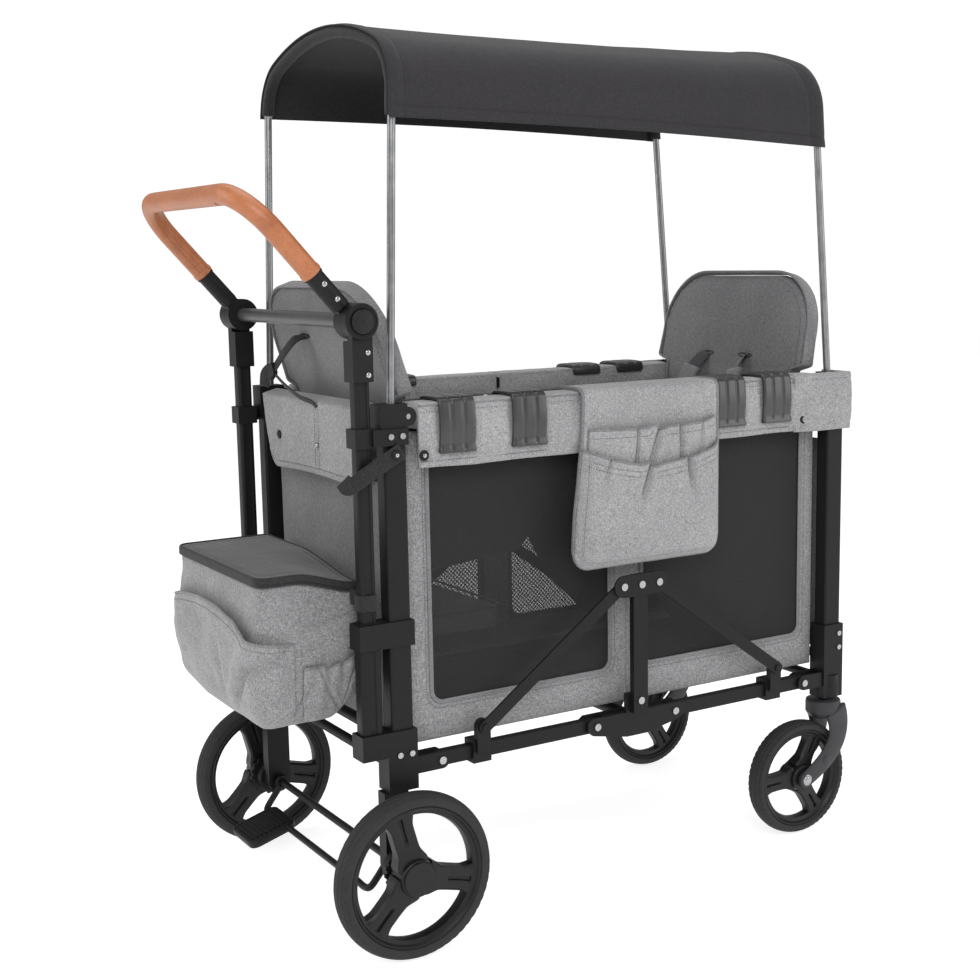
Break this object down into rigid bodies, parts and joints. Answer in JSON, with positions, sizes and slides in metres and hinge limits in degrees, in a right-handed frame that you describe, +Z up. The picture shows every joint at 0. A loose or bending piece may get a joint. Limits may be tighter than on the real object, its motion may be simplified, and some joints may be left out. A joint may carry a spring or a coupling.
{
  "type": "wagon with pull handle",
  "caption": "Folding stroller wagon with facing seats, a canopy on bent poles, a push handle with a leather grip, spoked wheels, swivel front forks, a brake pedal and storage bags.",
  "frame": {"origin": "on the ground, at the middle of the overall length and width", "axes": "+X forward, towards the swivelling front wheels; +Y to the far side, away from the organiser; +Z up"},
  "size_m": [1.1208, 0.606, 1.375],
  "materials": {
    "frame_tube": "satin black powder coat",
    "dark_plastic": "fine grain black",
    "fork_plastic": "dark grey, moulded",
    "pole_steel": "grey satin",
    "rivet_steel": "bright",
    "dark_steel": "dark satin",
    "crossbar_grey": "satin grey",
    "grip_leather": "orange-brown, stitched",
    "heather_fabric": "heather grey woven polyester",
    "canopy_fabric": "charcoal woven polyester",
    "trim_fabric": "dark woven binding",
    "webbing": "black webbing",
    "tyre_rubber": "matte black with fine tread",
    "wheel_plastic": "satin black"
  },
  "bodies": {
    "rear_frame": {"rear_posts": "frame_tube", "rear_lower_housings": "dark_plastic", "rear_legs": "dark_plastic", "rear_top_blocks": "dark_plastic", "rear_cross_tubes": "frame_tube", "rear_axle": "dark_steel", "rear_rivets": "rivet_steel", "handle_clamps": "dark_plastic", "handle_tubes": "frame_tube", "handle_hubs": "dark_plastic", "handle_crossbar": "crossbar_grey", "rear_hoop": "pole_steel", "canopy": "canopy_fabric", "rear_wall": "heather_fabric", "side_panels": "heather_fabric", "floor_mat": "trim_fabric", "rear_seat": "heather_fabric", "organiser": "heather_fabric", "storage_bag": "heather_fabric", "rear_straps": "webbing"},
    "rear_base": {"rear_base_rails": "frame_tube"},
    "centre_truss": {"centre_brackets": "dark_plastic", "centre_posts": "frame_tube", "strut_brackets": "frame_tube", "centre_pins": "rivet_steel"},
    "front_base": {"front_base_rails": "frame_tube"},
    "front_frame": {"front_posts": "frame_tube", "front_lower_housings": "dark_plastic", "front_top_blocks": "dark_plastic", "front_cross_tubes": "frame_tube", "front_rivets": "rivet_steel", "front_hoop": "pole_steel", "front_wall": "heather_fabric", "front_seat": "heather_fabric"},
    "rear_slider": {"rear_sliders": "dark_plastic"},
    "front_slider": {"front_sliders": "dark_plastic"},
    "rear_strut_pair": {"rear_struts": "frame_tube"},
    "front_strut_pair": {"front_struts": "frame_tube"},
    "rear_rails": {"rear_top_rails": "frame_tube", "rear_sleeves": "heather_fabric", "rear_rail_clips": "dark_plastic"},
    "front_rails": {"front_top_rails": "frame_tube", "front_sleeves": "heather_fabric", "front_rail_clips": "dark_plastic"},
    "handle": {"handle_arms": "dark_plastic", "handle_grip": "grip_leather"},
    "near_hub_button": {"near_button": "dark_plastic"},
    "far_hub_button": {"far_button": "dark_plastic"},
    "near_caster": {"near_fork": "fork_plastic"},
    "far_caster": {"far_fork": "fork_plastic"},
    "near_front_wheel": {"near_front_rim": "wheel_plastic", "near_front_tyre": "tyre_rubber"},
    "far_front_wheel": {"far_front_rim": "wheel_plastic", "far_front_tyre": "tyre_rubber"},
    "near_rear_wheel": {"near_rear_rim": "wheel_plastic", "near_rear_tyre": "tyre_rubber"},
    "far_rear_wheel": {"far_rear_rim": "wheel_plastic", "far_rear_tyre": "tyre_rubber"},
    "brake": {"brake_pedal": "dark_steel"},
    "lid": {"bag_lid": "trim_fabric"}
  },
  "joints": [
    {"name": "fold", "type": "hinge", "parent": "rear_frame", "child": "rear_base", "pos_m": [-0.26862, 0, 0.275], "axis": [0, -1, 0], "range_deg": [0, 75], "deforming": ["canopy", "side_panels", "floor_mat", "rear_sleeves", "front_sleeves", "organiser"]},
    {"name": "truss_level", "type": "hinge", "parent": "rear_base", "child": "centre_truss", "pos_m": [0.01738, 0, 0.275], "axis": [0, -1, 0], "range_deg": [-75, 0]},
    {"name": "front_base_turn", "type": "hinge", "parent": "centre_truss", "child": "front_base", "pos_m": [0.17538, 0, 0.275], "axis": [0, -1, 0], "range_deg": [-75, 0]},
    {"name": "front_frame_level", "type": "hinge", "parent": "front_base", "child": "front_frame", "pos_m": [0.46138, 0, 0.275], "axis": [0, -1, 0], "range_deg": [0, 75]},
    {"name": "rear_slider_travel", "type": "slide", "parent": "rear_base", "child": "rear_slider", "axis": [1, 0, 0], "range_m": [0, 0.12805]},
    {"name": "front_slider_travel", "type": "slide", "parent": "front_base", "child": "front_slider", "axis": [-1, 0, 0], "range_m": [0, 0.12805]},
    {"name": "rear_strut_turn", "type": "hinge", "parent": "centre_truss", "child": "rear_strut_pair", "pos_m": [0.06138, 0, 0.502], "axis": [0, -1, 0], "range_deg": [0, 34.9]},
    {"name": "front_strut_turn", "type": "hinge", "parent": "centre_truss", "child": "front_strut_pair", "pos_m": [0.13138, 0, 0.502], "axis": [0, 1, 0], "range_deg": [0, 34.9]},
    {"name": "rear_rail_fold", "type": "hinge", "parent": "rear_frame", "child": "rear_rails", "pos_m": [-0.31162, 0, 0.8], "axis": [0, 1, 0], "range_deg": [0, 63.8]},
    {"name": "front_rail_fold", "type": "hinge", "parent": "front_frame", "child": "front_rails", "pos_m": [0.50438, 0, 0.8], "axis": [0, -1, 0], "range_deg": [0, 63.8]},
    {"name": "handle_tilt", "type": "hinge", "parent": "rear_frame", "child": "handle", "pos_m": [-0.38362, 0, 0.939], "axis": [0, 1, 0], "range_deg": [-50, 40]},
    {"name": "near_button_press", "type": "slide", "parent": "rear_frame", "child": "near_hub_button", "axis": [0, 1, 0], "range_m": [0, 0.004], "stiffness_N_per_m": 800, "springref_m": -0.002},
    {"name": "far_button_press", "type": "slide", "parent": "rear_frame", "child": "far_hub_button", "axis": [0, -1, 0], "range_m": [0, 0.004], "stiffness_N_per_m": 800, "springref_m": -0.002},
    {"name": "near_caster_swivel", "type": "hinge", "parent": "front_frame", "child": "near_caster", "pos_m": [0.52038, -0.22, 0.245], "axis": [0, 0, 1], "continuous": true},
    {"name": "far_caster_swivel", "type": "hinge", "parent": "front_frame", "child": "far_caster", "pos_m": [0.52038, 0.22, 0.245], "axis": [0, 0, 1], "continuous": true},
    {"name": "near_front_wheel_spin", "type": "hinge", "parent": "near_caster", "child": "near_front_wheel", "pos_m": [0.45838, -0.22, 0.102], "axis": [0, 1, 0], "continuous": true},
    {"name": "far_front_wheel_spin", "type": "hinge", "parent": "far_caster", "child": "far_front_wheel", "pos_m": [0.45838, 0.22, 0.102], "axis": [0, 1, 0], "continuous": true},
    {"name": "near_rear_wheel_spin", "type": "hinge", "parent": "rear_frame", "child": "near_rear_wheel", "pos_m": [-0.34762, -0.28, 0.127], "axis": [0, 1, 0], "continuous": true},
    {"name": "far_rear_wheel_spin", "type": "hinge", "parent": "rear_frame", "child": "far_rear_wheel", "pos_m": [-0.34762, 0.28, 0.127], "axis": [0, 1, 0], "continuous": true},
    {"name": "brake_press", "type": "hinge", "parent": "rear_frame", "child": "brake", "pos_m": [-0.34762, 0, 0.127], "axis": [0, -1, 0], "range_deg": [0, 12]},
    {"name": "lid_open", "type": "hinge", "parent": "rear_frame", "child": "lid", "pos_m": [-0.37162, 0, 0.567], "axis": [0, 1, 0], "range_deg": [0, 80]}
  ],
  "couplings": [
    {"joint": "truss_level", "follows": "fold", "ratio": -1},
    {"joint": "front_base_turn", "follows": "fold", "ratio": -1},
    {"joint": "front_frame_level", "follows": "fold", "ratio": 1},
    {"joint": "rear_slider_travel", "follows": "fold", "m_per_rad": 0.097591},
    {"joint": "front_slider_travel", "follows": "fold", "m_per_rad": 0.097591},
    {"joint": "rear_strut_turn", "follows": "fold", "ratio": 0.46486},
    {"joint": "front_strut_turn", "follows": "fold", "ratio": 0.46486},
    {"joint": "rear_rail_fold", "follows": "fold", "ratio": 0.85},
    {"joint": "front_rail_fold", "follows": "fold", "ratio": 0.85}
  ]
}
